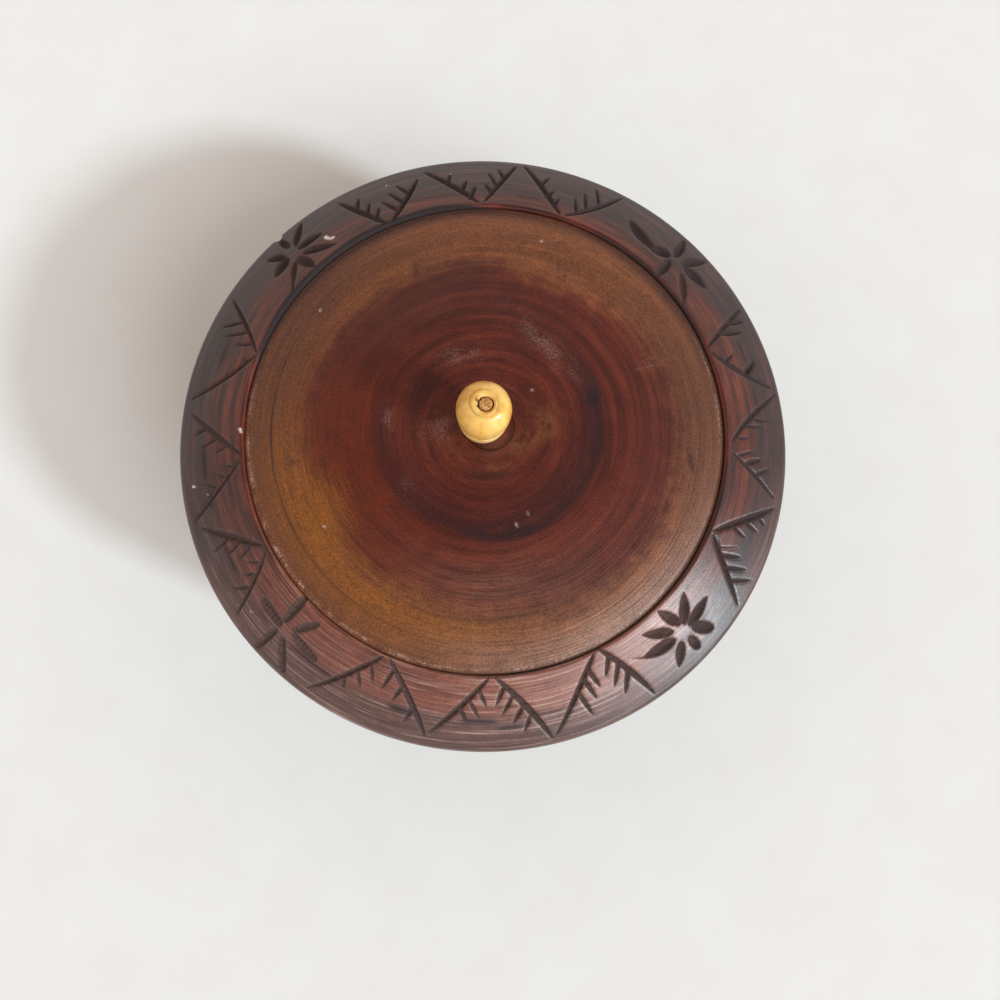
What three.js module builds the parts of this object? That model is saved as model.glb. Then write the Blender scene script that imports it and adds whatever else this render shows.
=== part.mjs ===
// A turned hardwood trinket box. The body is one block, hollowed through its mouth,
// with a broad rounded shoulder. The lid drops into the mouth and rests on a ledge.
// A bone bead is the lid's knob, held by a wooden peg that runs down through the lid.
// Millimetres, +Z up. The origin is the middle of the foot's underside.

import * as THREE from 'three';

// Body, outside.
const bodyDiameter = 150;
const rimHeight = 69;
const shoulderWidth = 18;
const shoulderDrop = 9;
const footDiameter = 88;
const footHeight = 4;
const rimRounding = 0.8;
const shoulderRimSlope = 12;
const shoulderEdgeSlope = 36;
const shoulderEdgeRounding = 2;

// Body, inside. The ledge carries the lid and the neck below it takes the lid's spigot.
const seatDepth = 5;
const seatWidth = 5.6;
const neckLength = 7;
const bellyWall = 11;
const hollowWidestHeight = 44;
const hollowFloorDiameter = 64;
const floorThickness = 10;

// Lid.
const lidClearance = 0.6;
const seatGap = 0.3;
const lidEdgeThickness = 4.2;
const crownRise = 1.3;
const crownPower = 6;
const lidEdgeRounding = 0.8;
const spigotClearance = 0.4;
const spigotLength = 4;
const spigotWall = 7;
const dishDepth = 3;
const knobRecessDiameter = 12.6;
const knobRecessDepth = 0.8;

// Bead. Its foot flares up to a fine groove, and the round head sits above that.
const beadDiameter = 12.2;
const beadHeight = 20.4;
const beadFootDiameter = 7.8;
const beadGrooveHeight = 10.6;
const beadGrooveDepth = 0.35;
const beadGrooveWidth = 0.9;
const beadHeadHeight = 15;
const beadRingDiameter = 5.8;
const beadRingHeight = 0.4;
const beadFootGap = 0.3;

// Peg.
const pegDiameter = 2.9;
const pegClearance = 0.3;
const pegTopSink = 0.4;

// Facets.
const wideRoundSteps = 96;
const beadRoundSteps = 48;
const pegRoundSteps = 24;
const curveSteps = 8;
const roundingSteps = 3;

// Finishes.
const stainedWood = { color: '#5e3c38', roughness: 0.5, metalness: 0 };
const oiledWood = { color: '#78482f', roughness: 0.55, metalness: 0 };
const polishedBone = { color: '#f0c067', roughness: 0.25, metalness: 0 };
const pegWood = { color: '#a97038', roughness: 0.7, metalness: 0 };

// Sizes that follow from the ones above.
const bodyRadius = bodyDiameter / 2;
const footRadius = footDiameter / 2;
const mouthRadius = bodyRadius - shoulderWidth;
const widestHeight = rimHeight - shoulderDrop;
const ledgeHeight = rimHeight - seatDepth;
const neckRadius = mouthRadius - seatWidth;
const neckFoot = ledgeHeight - neckLength;
const hollowRadius = bodyRadius - bellyWall;
const hollowFloorRadius = hollowFloorDiameter / 2;
const lidRadius = mouthRadius - lidClearance;
const spigotRadius = neckRadius - spigotClearance;
const dishRadius = spigotRadius - spigotWall;
const pegRadius = pegDiameter / 2;
const pegHoleRadius = pegRadius + pegClearance;
const lidSeatHeight = ledgeHeight + seatGap;
const lidCrownHeight = lidEdgeThickness + crownRise;
const recessFloorHeight = lidCrownHeight - knobRecessDepth;
const beadSeatHeight = recessFloorHeight + beadFootGap;
const lidUndersideHeight = dishDepth - spigotLength;
const pegTopHeight = beadSeatHeight + beadHeight - pegTopSink;

// Points [radius, height] on part of an ellipse, from one angle in degrees to another.
function ellipseArc(centre, reach, fromAngle, toAngle, steps) {
  const points = [];
  for (let step = 0; step <= steps; step += 1) {
    const angle = THREE.MathUtils.degToRad(fromAngle + (toAngle - fromAngle) * step / steps);
    const radius = centre[0] + reach[0] * Math.cos(angle);
    const height = centre[1] + reach[1] * Math.sin(angle);
    points.push([radius, height]);
  }
  return points;
}

// Direction [radius, height] of a surface that falls outwards at a slope in degrees.
function fallingAt(slope) {
  const angle = THREE.MathUtils.degToRad(slope);
  return new THREE.Vector2(Math.cos(angle), -Math.sin(angle));
}

// Points on the curve that leaves one point at one slope and reaches the other at another slope.
function convexFall(start, startSlope, end, endSlope, steps) {
  const leaving = fallingAt(startSlope);
  const arriving = fallingAt(endSlope);
  const chord = end.clone().sub(start);
  const reach = chord.cross(arriving) / leaving.cross(arriving);
  const bend = start.clone().addScaledVector(leaving, reach);
  return new THREE.QuadraticBezierCurve(start, bend, end).getPoints(steps).map((point) => point.toArray());
}

// A turned solid about Z. The profile runs out along the bottom and back over the top.
function turned(profile, steps) {
  const points = profile.map(([radius, height]) => new THREE.Vector2(radius, height));
  const geometry = new THREE.LatheGeometry(points, steps);
  return geometry.rotateX(Math.PI / 2);
}

// A turned solid with a hole along its axis: the profile closes on itself.
function turnedRing(profile, steps) {
  return turned([...profile, profile[0]], steps);
}

// Height of the lid's top above its seat: level in the middle, falling away to the edge.
function crownHeightAt(radius) {
  return lidCrownHeight - crownRise * (radius / lidRadius) ** crownPower;
}

function bodyProfile() {
  const belly = [bodyRadius - footRadius, widestHeight - footHeight];
  const edgeCentre = [bodyRadius - shoulderEdgeRounding, widestHeight];
  const edgeReach = [shoulderEdgeRounding, shoulderEdgeRounding];
  const edge = ellipseArc(edgeCentre, edgeReach, 0, 90 - shoulderEdgeSlope, roundingSteps);
  const shoulderTop = new THREE.Vector2(mouthRadius + rimRounding, rimHeight);
  const shoulderFoot = new THREE.Vector2(...edge.at(-1));
  const shoulder = convexFall(shoulderTop, shoulderRimSlope, shoulderFoot, shoulderEdgeSlope, curveSteps);
  const rim = [mouthRadius + rimRounding, rimHeight - rimRounding];
  const hollowTop = [hollowRadius - neckRadius, neckFoot - hollowWidestHeight];
  const hollowBase = [hollowRadius - hollowFloorRadius, hollowWidestHeight - floorThickness];
  return [
    [0, 0],
    [footRadius, 0],
    ...ellipseArc([footRadius, widestHeight], belly, -90, 0, curveSteps),
    ...edge.slice(1),
    ...shoulder.reverse().slice(1),
    ...ellipseArc(rim, [rimRounding, rimRounding], 90, 180, roundingSteps).slice(1),
    [mouthRadius, ledgeHeight],
    [neckRadius, ledgeHeight],
    ...ellipseArc([neckRadius, hollowWidestHeight], hollowTop, 90, 0, curveSteps),
    ...ellipseArc([hollowFloorRadius, hollowWidestHeight], hollowBase, 0, -90, curveSteps).slice(1),
    [0, floorThickness],
  ];
}

function lidProfile() {
  const recessRadius = knobRecessDiameter / 2;
  const edgeTop = crownHeightAt(lidRadius - lidEdgeRounding);
  const edgeCentre = [lidRadius - lidEdgeRounding, edgeTop - lidEdgeRounding];
  const crown = [];
  for (let step = 1; step <= curveSteps; step += 1) {
    const radius = edgeCentre[0] + (recessRadius - edgeCentre[0]) * step / curveSteps;
    crown.push([radius, crownHeightAt(radius)]);
  }
  return [
    [pegHoleRadius, lidUndersideHeight],
    [dishRadius, lidUndersideHeight],
    [dishRadius + dishDepth, -spigotLength],
    [spigotRadius, -spigotLength],
    [spigotRadius, 0],
    [lidRadius, 0],
    ...ellipseArc(edgeCentre, [lidEdgeRounding, lidEdgeRounding], 0, 90, roundingSteps),
    ...crown,
    [recessRadius, recessFloorHeight],
    [pegHoleRadius, recessFloorHeight],
  ];
}

function beadProfile() {
  const headRadius = beadDiameter / 2;
  const baseRadius = beadFootDiameter / 2;
  const ringRadius = beadRingDiameter / 2;
  const lipRadius = headRadius - beadGrooveDepth;
  const footTop = beadGrooveHeight - beadGrooveWidth / 2;
  const headBottom = beadGrooveHeight + beadGrooveWidth / 2;
  const domeTop = beadHeight - beadRingHeight;
  const footReach = [lipRadius - baseRadius, footTop];
  const headReach = [beadGrooveDepth, beadHeadHeight - headBottom];
  const domeReach = [headRadius - ringRadius, domeTop - beadHeadHeight];
  return [
    [pegHoleRadius, 0],
    ...ellipseArc([baseRadius, footTop], footReach, -90, 0, curveSteps),
    [lipRadius - beadGrooveDepth, beadGrooveHeight],
    ...ellipseArc([lipRadius, beadHeadHeight], headReach, -90, 0, roundingSteps),
    ...ellipseArc([ringRadius, beadHeadHeight], domeReach, 0, 90, curveSteps).slice(1),
    [ringRadius, beadHeight],
    [pegHoleRadius, beadHeight],
  ];
}

function pegProfile() {
  return [
    [0, lidUndersideHeight],
    [pegRadius, lidUndersideHeight],
    [pegRadius, pegTopHeight],
    [0, pegTopHeight],
  ];
}

function piece(name, geometry, finish) {
  const mesh = new THREE.Mesh(geometry, new THREE.MeshStandardMaterial(finish));
  mesh.name = name;
  return mesh;
}

const box = new THREE.Group();
box.add(piece('box_body', turned(bodyProfile(), wideRoundSteps), stainedWood));

// The lid, its bead and its peg share one frame, whose height zero is the lid's seat.
const lidGroup = new THREE.Group();
lidGroup.position.z = lidSeatHeight;
box.add(lidGroup);
lidGroup.add(piece('lid', turnedRing(lidProfile(), wideRoundSteps), oiledWood));

const bead = piece('knob', turnedRing(beadProfile(), beadRoundSteps), polishedBone);
bead.position.z = beadSeatHeight;
lidGroup.add(bead);
lidGroup.add(piece('knob_peg', turned(pegProfile(), pegRoundSteps), pegWood));

export default box;
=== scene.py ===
import bpy
import numpy as np
from mathutils import Matrix, Vector


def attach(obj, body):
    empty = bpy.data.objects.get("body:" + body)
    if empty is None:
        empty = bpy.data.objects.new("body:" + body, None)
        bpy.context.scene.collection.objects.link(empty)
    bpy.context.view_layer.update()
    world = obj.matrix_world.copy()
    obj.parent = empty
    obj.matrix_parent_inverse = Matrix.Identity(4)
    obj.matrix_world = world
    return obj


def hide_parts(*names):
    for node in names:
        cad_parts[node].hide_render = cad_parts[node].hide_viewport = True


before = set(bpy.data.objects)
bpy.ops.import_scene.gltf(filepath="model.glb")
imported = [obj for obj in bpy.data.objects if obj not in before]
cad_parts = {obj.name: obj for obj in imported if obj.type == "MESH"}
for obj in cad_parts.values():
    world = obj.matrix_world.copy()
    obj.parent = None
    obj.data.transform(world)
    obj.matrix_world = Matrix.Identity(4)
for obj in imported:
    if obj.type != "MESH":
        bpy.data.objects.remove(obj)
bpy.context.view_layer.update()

# Camera. A phone held about 24 cm above the table, looking almost straight down on the lid
# and leaning a little towards the far side.
camera_place = Vector((-0.0018, -0.0452, 0.242))
looking = Vector((0.0281, 0.1606, -0.9866)).normalized()
rightwards = Vector((0.9996, -0.0045, 0.0277))
rightwards = (rightwards - looking * rightwards.dot(looking)).normalized()
upwards = rightwards.cross(looking)
camera_data = bpy.data.cameras.new("phone_camera")
camera_data.sensor_width = 36
camera_data.lens = 27.036
camera_data.clip_start = 0.01
camera_data.clip_end = 20
camera = bpy.data.objects.new("phone_camera", camera_data)
turn = Matrix((rightwards, upwards, -looking)).transposed().to_4x4()
camera.matrix_world = Matrix.Translation(camera_place) @ turn
bpy.context.collection.objects.link(camera)
bpy.context.scene.camera = camera
bpy.context.scene.view_settings.view_transform = "Standard"


# Light. Low sun from the right and a little in front, the soft glow of the window beside it, and
# the pale warm room. Both lamps are plain ones that light everything.
def add_node(tree, kind, inputs=None, stops=None, **settings):
    """Adds one node. The kind is Blender's name for it less the ShaderNode in front, settings are its
    properties, inputs are values or sockets, and stops are a ramp's colours."""
    node = tree.nodes.new("ShaderNode" + kind)
    for name, value in settings.items():
        setattr(node, name, value)
    for key, value in (inputs or {}).items():
        if isinstance(value, bpy.types.NodeSocket):
            tree.links.new(value, node.inputs[key])
        else:
            node.inputs[key].default_value = value
    if stops:
        ramp = node.color_ramp.elements
        while len(ramp) < len(stops):
            ramp.new(1)
        for element, (position, colour) in zip(ramp, stops):
            element.position = position
            element.color = colour
    return node


lamps = [
    # name, strength, degrees across, bearing, height over the table, colour
    ("low_sun", 1.85, 7, -30, 31.3, (0.84, 1.0, 1.08)),
    ("window_glow", 1.05, 28, -50, 41.5, (0.9, 1.0, 1.06)),
]
for name, strength, across, bearing, height, colour in lamps:
    lamp_data = bpy.data.lights.new(name, "SUN")
    lamp_data.energy = strength
    lamp_data.angle = np.radians(across)
    lamp_data.color = colour
    lamp = bpy.data.objects.new(name, lamp_data)
    level = np.cos(np.radians(height))
    towards_lamp = Vector((
        level * np.cos(np.radians(bearing)), level * np.sin(np.radians(bearing)), np.sin(np.radians(height)),
    ))
    lamp.rotation_euler = towards_lamp.to_track_quat("Z", "Y").to_euler()
    bpy.context.collection.objects.link(lamp)

room = bpy.data.worlds.new("pale_room")
room.use_nodes = True
room.node_tree.nodes.clear()
upward = add_node(room.node_tree, "TexCoord").outputs["Generated"]
upward = add_node(room.node_tree, "SeparateXYZ", {0: upward}).outputs["Z"]
# Pale walls all round, and less light from straight above, where the phone is held.
walls = add_node(
    room.node_tree, "ValToRGB", {"Fac": upward},
    stops=[(0.0, (1.06, 0.93, 0.84, 1)), (0.3, (1.0, 0.88, 0.79, 1)), (0.65, (0.7, 0.61, 0.55, 1)),
           (0.88, (0.33, 0.285, 0.26, 1)), (1.0, (0.05, 0.043, 0.04, 1))],
).outputs["Color"]
room_light = add_node(room.node_tree, "Background", {"Color": walls, "Strength": 1}).outputs[0]
add_node(room.node_tree, "OutputWorld", {"Surface": room_light})
bpy.context.scene.world = room


# Table. A flat white painted top, far larger than the picture, that takes the box's shadow.
def linear(code):
    """A colour from its sRGB hex code, as linear light."""
    parts = [int(code[k:k + 2], 16) / 255 for k in (1, 3, 5)]
    return tuple(((p + 0.055) / 1.055) ** 2.4 if p > 0.04045 else p / 12.92 for p in parts) + (1.0,)


def put_mesh(name, points, faces, material, fields=None):
    """Makes a smooth object at the origin from points in millimetres; fields are values at the points."""
    mesh = bpy.data.meshes.new(name)
    mesh.from_pydata((points * 0.001).tolist(), [], faces)
    mesh.polygons.foreach_set("use_smooth", np.ones(len(mesh.polygons), bool))
    for field, values in (fields or {}).items():
        attribute = mesh.attributes.new(field, "FLOAT", "POINT")
        attribute.data.foreach_set("value", np.asarray(values, np.float32))
    mesh.materials.append(material)
    mesh.update()
    piece = bpy.data.objects.new(name, mesh)
    bpy.context.collection.objects.link(piece)
    return piece


def new_material(name):
    """An empty material, its node tree, and the object's own coordinates in millimetres."""
    material = bpy.data.materials.new(name)
    material.use_nodes = True
    tree = material.node_tree
    tree.nodes.clear()
    place = add_node(tree, "TexCoord").outputs["Object"]
    place = add_node(tree, "VectorMath", {0: place, "Scale": 1000}, operation="SCALE").outputs[0]
    return material, tree, place


painted_top, tree, place = new_material("painted_table_top")
# Brushed white paint: dull, with brush marks 1.1 mm apart and hardly any unevenness, 20 mm across.
brush_marks_per_mm, clouds_per_mm = 0.9, 0.05
clouds = add_node(tree, "TexNoise", {"Vector": place, "Scale": clouds_per_mm, "Detail": 3}).outputs["Fac"]
paint = add_node(
    tree, "ValToRGB", {"Fac": clouds},
    stops=[(0.3, linear("#ebe9e6")), (0.7, linear("#edecea"))],
).outputs["Color"]
brushed = add_node(
    tree, "TexNoise", {"Vector": place, "Scale": brush_marks_per_mm, "Detail": 2}
).outputs["Fac"]
dents = add_node(tree, "Bump", {"Height": brushed, "Strength": 0.15, "Distance": 0.0002})
shader = add_node(
    tree, "BsdfPrincipled",
    {"Base Color": paint, "Roughness": 0.8, "Specular IOR Level": 0.2, "Normal": dents.outputs[0]},
)
add_node(tree, "OutputMaterial", {"Surface": shader.outputs[0]})
table_reach = 4000
table_corners = np.array([(-1, -1, 0), (1, -1, 0), (1, 1, 0), (-1, 1, 0)], float) * table_reach
table_top = put_mesh("table_top", table_corners, [(0, 1, 2, 3)], painted_top)


# Box body. One block of dark reddish hardwood, turned outside, hollowed through its mouth, and
# stained. The shoulder is cut by hand with a V tool and a gouge: twelve hatched triangles, four flowers.
def elliptic(centre, reach, start, end, steps):
    """Points on an ellipse: the centre plus the reaches times the cosine and sine of evenly spaced angles."""
    angle = np.radians(np.linspace(start, end, steps))
    return np.stack([centre[0] + reach[0] * np.cos(angle), centre[1] + reach[1] * np.sin(angle)], 1)


def straight(start, end, steps):
    """Evenly spaced points from start to end."""
    return np.linspace(start, end, steps)


def falling(slope):
    """Radius and height parts of a line that falls outwards at a slope in degrees."""
    return np.array([np.cos(np.radians(slope)), -np.sin(np.radians(slope))])


def closed_rings(rings):
    """Joins rings of points into one skin. Neighbours with equal counts make quads, and where one has
    twice the other's count each of its pairs fans onto one side of the other. One point closes an end."""
    starts = np.cumsum([0] + [len(ring) for ring in rings])
    faces = []
    for low, high, first, second in zip(rings, rings[1:], starts, starts[1:]):
        count = max(len(low), len(high))
        k = np.arange(count)
        if len(low) == len(high):
            after = (k + 1) % count
            sides = [first + k, first + after, second + after, second + k]
            faces += np.stack(sides, 1).tolist()
        elif len(low) == 1:
            faces += np.stack([np.full(count, first), second + (k + 1) % count, second + k], 1).tolist()
        elif len(high) == 1:
            faces += np.stack([first + k, first + (k + 1) % count, np.full(count, second)], 1).tolist()
        else:
            k = np.arange(count // 2)
            coarse, after = k, (k + 1) % (count // 2)
            fine, middle, ending = 2 * k, 2 * k + 1, (2 * k + 2) % count
            if len(high) > len(low):
                coarse, after = first + coarse, first + after
                fine, middle, ending = second + fine, second + middle, second + ending
                fans = [(coarse, middle, fine), (coarse, after, middle), (after, ending, middle)]
            else:
                coarse, after = second + coarse, second + after
                fine, middle, ending = first + fine, first + middle, first + ending
                fans = [(fine, middle, coarse), (middle, after, coarse), (middle, ending, after)]
            for fan in fans:
                faces += np.stack(fan, 1).tolist()
    return np.concatenate(rings), faces


def level_ring(radius, height, count, centre=(0, 0)):
    """A ring of points at one height: the centre plus the radius times the cosine and sine of even angles."""
    angle = np.arange(count) * 2 * np.pi / count
    x, y = centre[0] + radius * np.cos(angle), centre[1] + radius * np.sin(angle)
    return np.stack([x, y, np.broadcast_to(height, count)], 1)


body_radius = 75.0
mouth_radius = 57.0
rim_height = 69.0
edge_height = 60.0
edge_rounding = 2.0
rim_rounding = 0.8
edge_slope = 29.0
rim_slope = 20.0
foot_radius = 44.0
foot_height = 4.0
foot_rounding = 0.8
ledge_height = 64.0
ledge_bevel = 0.3
neck_radius = 51.4
neck_foot = 57.0
hollow_radius = 64.0
hollow_height = 44.0
floor_radius = 32.0
floor_height = 10.0

# The shoulder: the curve leaves the rim at one slope and meets the edge's rounding at the other.
rounded_edge = elliptic(
    (body_radius - edge_rounding, edge_height), (edge_rounding, edge_rounding), 0, 90 - edge_slope, 7
)
shoulder_top = np.array([mouth_radius + rim_rounding, rim_height])
chord = rounded_edge[-1] - shoulder_top
leaving, arriving = falling(rim_slope), falling(edge_slope)
chord_cross = chord[0] * arriving[1] - chord[1] * arriving[0]
slopes_cross = leaving[0] * arriving[1] - leaving[1] * arriving[0]
bend = shoulder_top + leaving * (chord_cross / slopes_cross)
part = np.linspace(1, 0, 46)[:, None]
shoulder = (1 - part) ** 2 * shoulder_top + 2 * part * (1 - part) * bend + part ** 2 * rounded_edge[-1]

belly = (foot_radius, edge_height), (body_radius - foot_radius, edge_height - foot_height)
foot_edge = foot_radius - foot_rounding
rim_middle = (mouth_radius + rim_rounding, rim_height - rim_rounding)
outside = np.concatenate([
    straight((12, 0), (foot_edge, 0), 4),
    elliptic((foot_edge, foot_rounding), (foot_rounding, foot_rounding), -90, 0, 4)[1:],
    straight((foot_radius, 2), (foot_radius, foot_height - 0.4), 2),
    elliptic(*belly, -89.3, -18, 22),
])
# The finely meshed band: the top of the belly, the edge, the shoulder and the rim's rounding.
band = np.concatenate([
    elliptic(*belly, -14, -2, 5),
    rounded_edge,
    shoulder[1:],
    elliptic(rim_middle, (rim_rounding, rim_rounding), 90, 180, 5)[1:],
])
inside = np.concatenate([
    straight((mouth_radius, rim_height - 2), (mouth_radius, ledge_height + ledge_bevel), 3),
    straight((mouth_radius - ledge_bevel, ledge_height), (neck_radius + ledge_bevel, ledge_height), 4),
    straight((neck_radius, ledge_height - ledge_bevel), (neck_radius, neck_foot + 1), 4),
    elliptic((neck_radius, hollow_height), (hollow_radius - neck_radius, neck_foot - hollow_height), 90, 0, 9),
    elliptic(
        (floor_radius, hollow_height), (hollow_radius - floor_radius, hollow_height - floor_height), 0, -90, 18
    )[1:],
    straight((26, floor_height), (8, floor_height), 3),
])
profile = np.concatenate([[(0, 0)], outside, band, inside, [(0, floor_height)]])
# Each row's distance along the profile, outwards from the mouth, and its outward normal.
steps = np.hypot(*np.diff(profile, axis=0).T)
along = np.concatenate([[0], np.cumsum(steps)])
mouth_row = int(np.argmin(np.hypot(*(profile - shoulder_top).T)))
along = along[mouth_row] - along
tangent = np.gradient(profile, axis=0)
normal = np.stack([tangent[:, 1], -tangent[:, 0]], 1)
normal /= np.maximum(np.hypot(*normal.T), 1e-9)[:, None]

# The carving. A cut is a list of degrees round the rim and millimetres out from the mouth, its
# greatest width, and the tool's mark: (widest place, sharpness at the start, at the end, depth, chatter).
leg, hatch, stub, leaf, rod, oval = (
    (0.5, 0.35, 0.45, 0.95, 0.12), (0.3, 0.3, 0.9, 0.9, 0.0), (0.35, 0.1, 0.45, 0.85, 0.1),
    (0.62, 0.9, 0.5, 0.62, 0.0), (0.5, 0.16, 0.16, 0.5, 0.3), (0.5, 0.5, 0.5, 0.7, 0.0),
)
triangles = [
    # legs as start, middle and end, and their widths; then the hatching's mark and width, and its
    # strokes as start and end, with a width of their own where it differs
    ((354.8, 1.0, 351.2, 7.5, 347.1, 16.2), (356.7, 0.9, 363.4, 7.2, 368.6, 17.5), (1.3, 1.4), hatch, 1.0,
     [(354.2, 3.0, 356.2, 8.8), (352.9, 5.4, 354.6, 10.8, 1.5), (351.0, 8.6, 353.4, 14.2),
      (358.2, 2.8, 358.6, 6.6), (361.2, 4.8, 361.5, 11.6), (363.0, 7.2, 362.7, 14.8)]),
    ((20.2, -0.2, 14.2, 6.5, 9.8, 16.2), (20.6, -0.5, 24.5, 7.6, 27.3, 17.2), (1.8, 1.4), hatch, 1.2,
     [(16.8, 3.6, 18.2, 7.4), (13.2, 8.2, 15.9, 13.2, 2.0), (23.4, 5.6, 22.2, 13.2, 1.7),
      (25.2, 9.4, 24.4, 15.6, 1.6)]),
    ((70.6, 0.5, 64.8, 7.0, 60.8, 16.8), (71.4, 0.4, 76.6, 7.4, 82.3, 17.4), (1.3, 1.5), hatch, 1.0,
     [(68.2, 3.0, 69.8, 8.8), (66.4, 5.4, 68.5, 12.6), (64.4, 9.4, 66.7, 16.2),
      (73.9, 2.4, 72.8, 6.6, 1.2), (76.0, 5.0, 74.5, 9.0, 1.2), (78.0, 9.2, 76.2, 14.2)]),
    ((90.5, 0.8, 86.9, 8.0, 83.6, 16.8), (91.8, 0.5, 97.4, 7.2, 103.0, 15.6), (1.4, 1.6), stub, 1.05,
     [(88.5, 3.4, 90.3, 7.8), (87.4, 6.2, 89.5, 12.6), (85.9, 9.4, 87.4, 14.4),
      (93.9, 1.9, 92.3, 6.7, 1.3), (95.9, 4.3, 94.2, 9.3, 1.2), (98.7, 7.9, 97.4, 13.2)]),
    ((113.9, -0.1, 108.6, 5.8, 104.5, 13.2), (115.1, -0.1, 118.9, 7.2, 121.8, 15.6), (1.6, 1.6), stub, 1.15,
     [(111.2, 2.6, 113.9, 8.1), (109.3, 4.6, 111.7, 10.5), (107.3, 7.0, 109.5, 12.7),
      (117.1, 2.2, 114.9, 6.4), (118.4, 4.9, 116.3, 9.6), (119.6, 8.7, 117.7, 13.2)]),
    ((161.6, 0.0, 155.8, 6.8, 151.1, 16.2), (161.6, 0.0, 168.3, 6.8, 173.1, 16.6), (1.15, 1.15), hatch, 0.9,
     [(159.5, 2.4, 160.7, 8.0), (157.3, 5.6, 159.5, 12.6), (155.3, 8.4, 157.8, 14.8),
      (163.9, 2.0, 163.0, 3.4)]),
    ((186.2, 0.0, 181.0, 6.8, 175.9, 15.2), (187.1, -0.1, 192.5, 7.2, 197.3, 16.8), (1.5, 1.4), hatch, 1.0,
     [(183.6, 3.8, 184.9, 7.8), (181.5, 6.4, 183.6, 12.3), (179.2, 9.8, 180.5, 14.2),
      (188.6, 2.6, 187.3, 5.8), (190.5, 4.6, 188.9, 8.5), (192.1, 7.6, 190.3, 11.9)]),
    ((208.2, 0.8, 203.4, 6.9, 198.6, 14.9), (209.4, 0.4, 213.4, 7.1, 216.6, 17.1), (1.9, 1.3), hatch, 1.05,
     [(206.7, 3.2, 208.2, 8.6), (204.8, 5.2, 206.2, 11.4), (202.9, 7.6, 204.3, 14.4),
      (210.9, 3.4, 208.8, 7.4, 0.8), (212.4, 5.8, 210.9, 9.3), (213.8, 9.2, 211.8, 13.7)]),
    ((246.3, -0.3, 241.3, 6.8, 235.0, 17.2), (247.2, -0.7, 254.0, 7.2, 258.8, 16.2), (1.55, 1.7), hatch, 1.15,
     [(244.4, 3.0, 246.3, 6.9), (242.4, 5.8, 244.6, 9.8, 1.0), (240.3, 8.6, 241.6, 12.0, 1.0),
      (249.3, 1.6, 248.2, 8.0), (252.1, 5.0, 250.9, 9.8), (255.2, 9.4, 254.2, 14.2)]),
    ((270.6, -0.3, 265.0, 6.6, 259.0, 15.2), (271.6, -0.5, 277.9, 7.4, 282.2, 17.5), (1.6, 1.7), hatch, 1.1,
     [(268.3, 2.8, 270.2, 7.4), (266.3, 5.2, 269.0, 10.6, 1.0), (264.3, 7.0, 266.3, 11.3, 1.3),
      (273.6, 2.2, 271.7, 7.1, 1.3), (275.3, 4.6, 272.8, 9.7, 1.2), (277.1, 7.6, 274.9, 11.9, 1.3),
      (278.4, 10.2, 276.9, 14.6)]),
    ((295.0, -0.1, 289.4, 6.3, 282.5, 17.0), (296.1, -0.9, 300.1, 7.4, 302.6, 17.5), (1.55, 1.6), stub, 1.3,
     [(292.2, 2.3, 293.6, 8.2), (290.7, 4.2, 292.1, 10.6), (288.7, 6.4, 290.4, 14.3),
      (297.9, 1.6, 295.3, 6.4), (299.2, 4.2, 296.1, 9.8), (300.2, 7.2, 297.5, 12.8, 1.4)]),
    ((334.8, 0.9, 330.4, 6.7, 325.2, 17.1), (335.2, 0.7, 340.6, 7.6, 345.9, 17.0), (1.6, 1.8), stub, 1.2,
     [(331.3, 4.6, 333.5, 10.9), (329.7, 7.6, 332.0, 13.8), (328.1, 10.6, 330.9, 16.8, 1.1),
      (332.4, 3.2, 335.1, 9.2, 0.5), (332.1, 4.9, 334.3, 2.9, 0.45), (338.6, 3.9, 337.3, 10.0, 1.1),
      (340.6, 6.9, 339.6, 13.0, 1.1), (342.8, 10.8, 341.5, 14.5, 1.1)]),
]
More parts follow.
